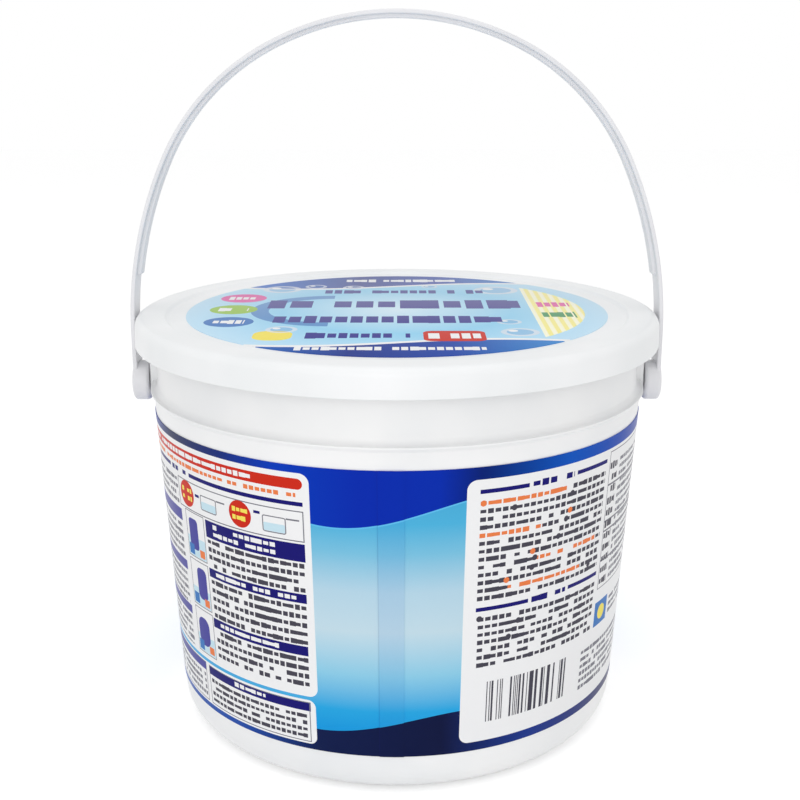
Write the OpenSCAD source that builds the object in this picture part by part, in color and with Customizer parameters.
/* [Tub] */
// Radius that the sloping outer wall would have at table level
tub_r = 74.8; // [60:0.1:100]
// Lean of the tub's side from upright, in degrees
tub_lean = 3.35; // [1:0.05:6]
// Height of the rim that carries the lid
rim_z = 136.4; // [115:0.1:200]
// Thickness of the tub's moulded wall
tub_wall = 1.3; // [0.9:0.1:2]
// Radius of the rounded edge between the side and the base
base_round = 9.5; // [5:0.1:15]
// Radius of the raised middle of the base
kick_r = 57; // [30:0.5:58]
// How far the middle of the base stands above the table
kick_h = 1.6; // [0.8:0.1:3]

/* [Neck] */
// Distance from the rim down to the edge of the step
neck_h = 22.4; // [18:0.1:32]
// How far the neck lies inside the line of the body wall
neck_in = 1.4; // [0.8:0.1:2.5]
// How far the step stands out from the body wall
step_out = 1.0; // [0.5:0.1:1.5]
// Height of the step's upright edge
step_edge = 0.6; // [0.3:0.1:1.5]
// How far the lip of the rim stands out from the neck
lip_out = 4.7; // [3.2:0.1:8]
// Depth of the lip that hangs from the rim
lip_h = 4.6; // [3:0.1:5.5]

/* [Lid] */
// Thickness of the lid's moulded wall
lid_wall = 1.3; // [0.9:0.1:1.6]
// Height of the skirt, from its lower edge to the crest of the rim
skirt_h = 9.1; // [8:0.1:12]
// How much narrower the skirt is at the top than at the bottom
skirt_draft = 0.2; // [0:0.1:0.5]
// Radius of the rounding between the crest and the skirt
lid_round = 3; // [2.2:0.1:3.5]
// How far the lid's flat middle lies below the crest
panel_drop = 1; // [0.5:0.1:2]
// Depth of the ring that plugs the tub's mouth, below the lid's flat middle
plug_h = 6.8; // [4:0.1:9]
// Height of the snap bead inside the skirt
bead_h = 1.2; // [0.8:0.1:1.5]
// Height of the snap bead above the skirt's lower edge
bead_up = 1.8; // [0.5:0.1:2]

/* [Fits] */
// Gap between the rim and the lid that rests on it
seat_gap = 0.1; // [0.05:0.05:0.3]
// Gap between the lip of the rim and the inside of the skirt
lip_gap = 0.4; // [0.3:0.1:0.8]
// Gap between the lip and the snap bead that passes over it
bead_gap = 0.1; // [0.05:0.05:0.2]
// Gap between the neck and the ring that plugs it
plug_gap = 0.3; // [0.1:0.05:0.6]
// Gap between the lid and the handle's legs beside it
leg_gap = 0.7; // [0.5:0.1:2]
// Gap between a pivot boss and the handle's pad
pad_gap = 0.5; // [0.3:0.1:1.5]
// Gap all round between a pivot pin and its hole
pin_gap = 0.08; // [0.05:0.01:0.2]
// Gap between the powder and the tub
powder_gap = 0.1; // [0.05:0.05:0.5]
// Gap left under a printed film
film_gap = 0.05; // [0.02:0.01:0.1]

/* [Handle] */
// Height of the handle's top above its pivots
handle_rise = 120.6; // [100:0.1:160]
// Radius of the long curve that each leg follows
leg_curve = 135; // [120:1:200]
// How far the leg's curve turns, in degrees
leg_turn = 25; // [15:1:28]
// Radius of the tighter curve at each shoulder
shoulder_curve = 78; // [68:1:84]
// Direction in which the shoulder ends and the grip begins, in degrees
shoulder_turn = 62; // [50:1:70]
// Width of the handle's outer band
band_w = 10; // [7:0.5:12]
// Thickness of the handle's outer band
band_t = 1.4; // [1:0.1:2]
// Width of the rib under the band
rib_w = 5.6; // [3:0.2:6.5]
// Depth of the rib under the band
rib_h = 1.3; // [0.8:0.1:2]
// Angle along the leg's curve at which the rib begins, in degrees
rib_start = 8; // [8:0.5:14]

/* [Pivots] */
// Distance from the rim down to the pivots
pivot_drop = 23.4; // [21:0.1:26]
// Diameter of the round pad at each end of the handle
pad_d = 13.5; // [11:0.1:16]
// How far a pad stands out past the handle's leg
pad_proud = 0.3; // [0.1:0.1:1]
// Rounding of a pad's edges
pad_round = 1.1; // [0.5:0.1:1.6]
// Diameter of the boss on the tub that faces each pad
boss_d = 9; // [7:0.1:10.5]
// How far a boss stands out past the step
boss_proud = 0.7; // [0.4:0.1:1.5]
// Diameter of the pin on each pad
pin_d = 4.8; // [3:0.1:5.5]
// Length of a pin inside its hole
pin_grip = 1.7; // [1:0.1:1.9]
// Depth of the hole in a boss
hole_depth = 2; // [2:0.1:2.2]

/* [Films] */
// Thickness of the printed films
film_t = 0.2; // [0.1:0.01:0.3]
// Height of the wrap film's lower edge
wrap_low = 14.2; // [12:0.1:30]
// Bare wall between the wrap film's upper edge and the step
wrap_gap = 7.1; // [3:0.1:20]
// Width of the strip where the wrap film overlaps itself, in degrees
wrap_lap = 5.5; // [3:0.5:12]
// Bare ring between the round film and the rise at the edge of the lid's flat middle
disc_margin = 5.9; // [0.5:0.1:20]

/* [Powder and scoop] */
// Height of the powder's surface
powder_z = 96; // [40:0.5:98]
// Outer radius of the scoop's cup at its mouth
cup_top_r = 21; // [15:0.5:25]
// Outer radius of the scoop's cup at its base
cup_base_r = 17.5; // [12:0.5:22]
// Height of the scoop's cup
cup_h = 29; // [20:0.5:31]
// Thickness of the scoop's wall
cup_wall = 1.2; // [0.8:0.1:1.8]
// Length of the scoop's handle beyond the cup
grip_l = 52; // [30:1:60]
// Width of the scoop's handle
grip_w = 13; // [8:0.5:18]
// Thickness of the scoop's handle
grip_t = 1.6; // [1:0.1:2.5]
// Height of the stiffening edge under the scoop's handle
grip_edge = 3; // [2:0.1:5]
// Distance from the tub's middle to the middle of the cup
scoop_back = 34; // [25:1:45]

/* [Hidden] */
$fn = 180;
eps = 0.01;
step_z = rim_z - neck_h;
pivot_z = rim_z - pivot_drop;
corner_r = wall_r(0) + base_round * tan(tub_lean) - base_round / cos(tub_lean);
neck_r = wall_r(step_z) - neck_in;
step_r = wall_r(step_z) + step_out;
cove = step_r - neck_r;
mouth_r = neck_r - tub_wall;
lip_r = neck_r + lip_out;
lid_r = lip_r + lip_gap + lid_wall + skirt_draft;
rim_round = lid_round - lid_wall - lip_gap;
crest_z = rim_z + seat_gap + lid_wall;
skirt_z = crest_z - skirt_h;
panel_z = crest_z - panel_drop;
plug_r = mouth_r - plug_gap;
rise_r = plug_r - 2 * lid_wall;
disc_r = rise_r - disc_margin;
leg_x = lid_r + leg_gap + band_t;
boss_x = step_r + boss_proud;
pad_x = boss_x + pad_gap;
pad_t = leg_x + pad_proud - pad_x;
grip_curve = (leg_x - leg_curve * (1 - cos(leg_turn))
    - shoulder_curve * (cos(leg_turn) - cos(shoulder_turn))) / cos(shoulder_turn);
spring_z = pivot_z + handle_rise - leg_curve * sin(leg_turn)
    - shoulder_curve * (sin(shoulder_turn) - sin(leg_turn)) - grip_curve * (1 - sin(shoulder_turn));
leg_centre = [leg_x - leg_curve, spring_z];
shoulder_centre = leg_centre + (leg_curve - shoulder_curve) * [cos(leg_turn), sin(leg_turn)];
grip_centre = [0, pivot_z + handle_rise - grip_curve];
arc_steps = 12;
rib_skip = 1 + ceil(arc_steps * rib_start / leg_turn);

// Outer radius of the tub's sloping side at a height
function wall_r(z) = tub_r + z * tan(tub_lean);

// Half section of the body, moved inwards from the outer surface by inset
module body_form(inset) {
    side = inset / cos(tub_lean);
    curve = base_round - inset;
    polygon([[0, inset], [corner_r, inset],
        [corner_r + curve * cos(tub_lean), base_round - curve * sin(tub_lean)],
        [wall_r(step_z) - side, step_z], [0, step_z]]);
    translate([corner_r, base_round]) circle(curve);
}

// Half section of what fills the tub, kept clear of its wall by gap
module inside_form(gap) {
    inset = tub_wall + gap;
    floor_z = kick_h + inset;
    shoulder = wall_r(step_z) - tub_wall / cos(tub_lean) - mouth_r;
    difference() {
        body_form(inset);
        polygon([[0, 0], [kick_r + inset, 0], [kick_r + inset - kick_h, floor_z], [0, floor_z]]);
        translate([mouth_r, step_z - shoulder])
            polygon([[0, shoulder + eps], [shoulder, 0], [2 * cove, 0], [2 * cove, shoulder + eps]]);
    }
}

// Half section of the ring step and of the cove that leads up to the neck
module step_form() {
    foot = step_r - wall_r(step_z) + 1;
    polygon([[step_r - foot, step_z - step_edge - foot], [step_r, step_z - step_edge],
        [step_r, step_z], [step_r - foot, step_z]]);
    difference() {
        translate([neck_r - eps, step_z - eps]) square([cove + eps, cove + eps]);
        translate([step_r, step_z + cove]) circle(cove);
    }
}

// Half section of the neck, and of the rim with its hanging lip
module neck_form() {
    translate([mouth_r, step_z - eps]) square([tub_wall, neck_h]);
    difference() {
        translate([mouth_r, rim_z - lip_h]) square([lip_r - mouth_r, lip_h]);
        translate([neck_r, rim_z - lip_h - tub_wall]) square([lip_r - neck_r - tub_wall, lip_h]);
        translate([lip_r - rim_round, rim_z - rim_round]) difference() {
            square(rim_round + 1);
            circle(rim_round);
        }
    }
}

module at_both_pivots() {
    for (side = [0, 1])
        mirror([side, 0, 0]) translate([0, 0, pivot_z]) rotate([0, 90, 0]) children();
}

module tub() {
    color("white") difference() {
        union() {
            rotate_extrude() difference() {
                union() {
                    body_form(0);
                    step_form();
                }
                polygon([[0, -1], [kick_r + kick_h + 1, -1], [kick_r, kick_h], [0, kick_h]]);
            }
            rotate_extrude() neck_form();
            at_both_pivots() cylinder(h = boss_x, d = boss_d);
        }
        rotate_extrude() {
            inside_form(0);
            translate([0, step_z - eps]) square([mouth_r, neck_h + 1]);
        }
        at_both_pivots() translate([0, 0, boss_x - hole_depth])
            cylinder(h = hole_depth + 1, d = pin_d + 2 * pin_gap);
    }
}

// Half section of the lid's outer shape, as if it were solid
module lid_outer_form() {
    top_r = lid_r - skirt_draft;
    polygon([[0, skirt_z], [lid_r, skirt_z], [top_r, crest_z - lid_round], [0, crest_z - lid_round]]);
    difference() {
        translate([0, crest_z - lid_round - eps]) square([top_r, lid_round + eps]);
        translate([top_r - lid_round, crest_z - lid_round]) difference() {
            square(lid_round + 1);
            circle(lid_round);
        }
        polygon([[-1, panel_z], [rise_r, panel_z], [rise_r + panel_drop, crest_z + eps],
            [-1, crest_z + eps]]);
    }
}

// Half section of the channel between the plug ring and the skirt
module lid_channel_form() {
    top_r = lid_r - skirt_draft - lid_wall;
    inner_round = lid_round - lid_wall;
    ceiling = crest_z - lid_wall;
    difference() {
        polygon([[plug_r, skirt_z - 1], [top_r + skirt_draft, skirt_z - 1],
            [top_r, ceiling - inner_round], [top_r, ceiling], [plug_r, ceiling]]);
        translate([top_r - inner_round, ceiling - inner_round]) difference() {
            square(inner_round + 1);
            circle(inner_round);
        }
        bead_form();
    }
}

// Half section of the snap bead, which just clears the lip of the rim
module bead_form() {
    bead_r = lip_r + bead_gap;
    low = skirt_z + bead_up;
    polygon([[bead_r, low + bead_h / 3], [bead_r, low + bead_h * 2 / 3], [lid_r, low + bead_h * 2],
        [lid_r, low - bead_h]]);
}

module lid() {
    color("white") rotate_extrude() difference() {
        lid_outer_form();
        lid_channel_form();
        translate([0, skirt_z - 1]) square([plug_r - lid_wall, panel_z - lid_wall - skirt_z + 1]);
        translate([plug_r - lid_wall - eps, skirt_z - 1])
            square([lid_wall + 2 * eps, panel_z - plug_h - skirt_z + 1]);
    }
}

// Points along an arc in the handle's plane
function arc_line(centre, radius, from, to) =
    [for (i = [1 : arc_steps]) let(a = from + (to - from) * i / arc_steps) centre + radius * [cos(a), sin(a)]];

// One side of the handle from pivot to top, at a depth inside its outer line: a basket-handle arch
function side_line(depth) = concat(
    [[leg_x - depth, pivot_z], [leg_x - depth, spring_z]],
    arc_line(leg_centre, leg_curve - depth, 0, leg_turn),
    arc_line(shoulder_centre, shoulder_curve - depth, leg_turn, shoulder_turn),
    arc_line(grip_centre, grip_curve - depth, shoulder_turn, 90));

function reversed(line) = [for (i = [len(line) - 1 : -1 : 0]) line[i]];
function mirrored(line) = [for (p = reversed(line)) [-p.x, p.y]];

// A whole arch, of which the lowest points on each side are left out up to skip
function arch_line(depth, skip = 0) =
    let(side = [for (i = [skip : len(side_line(depth)) - 1]) side_line(depth)[i]],
        top = len(side) - 1)
    concat([for (i = [0 : top - 1]) side[i]], mirrored(side));

// Upright slab of the given width between two lines in the handle's plane
module slab(width, outer, inner) {
    rotate([90, 0, 0]) linear_extrude(width, center = true) polygon(concat(outer, reversed(inner)));
}

// Round pad with its pin, along the pivot's line from the boss outwards
module pad() {
    translate([0, 0, pad_x]) rotate_extrude() {
        square([pad_d / 2 - pad_round, pad_t]);
        translate([0, pad_round]) square([pad_d / 2, pad_t - 2 * pad_round]);
        for (z = [pad_round, pad_t - pad_round]) translate([pad_d / 2 - pad_round, z]) circle(pad_round);
    }
    translate([0, 0, boss_x - pin_grip]) cylinder(h = pin_grip + pad_gap + eps, d = pin_d);
}

module handle() {
    color("whitesmoke") union() {
        slab(band_w, arch_line(0), arch_line(band_t));
        slab(rib_w, arch_line(band_t / 2, rib_skip), arch_line(band_t + rib_h, rib_skip + 1));
        at_both_pivots() pad();
    }
}

// Half section of one layer of film on the tub's side, depth above the wall
module wrap_form(depth) {
    low = wrap_low;
    high = step_z - wrap_gap;
    polygon([[wall_r(low) + depth, low], [wall_r(low) + depth + film_t, low],
        [wall_r(high) + depth + film_t, high], [wall_r(high) + depth, high]]);
}

module body_label() {
    color("royalblue") union() {
        rotate_extrude() wrap_form(film_gap);
        rotate([0, 0, -90]) rotate_extrude(angle = wrap_lap) wrap_form(film_gap + film_t);
    }
}

module lid_label() {
    color("lightskyblue") translate([0, 0, panel_z]) cylinder(h = film_t, r = disc_r);
}

module powder() {
    color("aliceblue") rotate_extrude() intersection() {
        inside_form(powder_gap);
        square([2 * tub_r, powder_z]);
    }
}

// Flat strip with a round end and an edge that turns down, which the scoop is held by
module scoop_grip() {
    long = cup_top_r - cup_wall + grip_l - grip_w / 2;
    difference() {
        union() {
            translate([0, -grip_w / 2, 0]) cube([long, grip_w, grip_edge]);
            translate([long, 0, 0]) cylinder(h = grip_edge, d = grip_w);
        }
        translate([0, 0, -1]) {
            translate([0, cup_wall - grip_w / 2, 0])
                cube([long, grip_w - 2 * cup_wall, grip_edge - grip_t + 1]);
            translate([long, 0, 0]) cylinder(h = grip_edge - grip_t + 1, d = grip_w - 2 * cup_wall);
        }
    }
}

module scoop() {
    color("white") translate([-scoop_back, 0, powder_z]) difference() {
        union() {
            cylinder(h = cup_h, r1 = cup_base_r, r2 = cup_top_r);
            translate([0, 0, cup_h - grip_edge]) scoop_grip();
        }
        translate([0, 0, cup_wall])
            cylinder(h = cup_h, r1 = cup_base_r - cup_wall,
                r2 = cup_base_r - cup_wall + (cup_top_r - cup_base_r));
    }
}

tub();
lid();
handle();
body_label();
lid_label();
powder();
scoop();
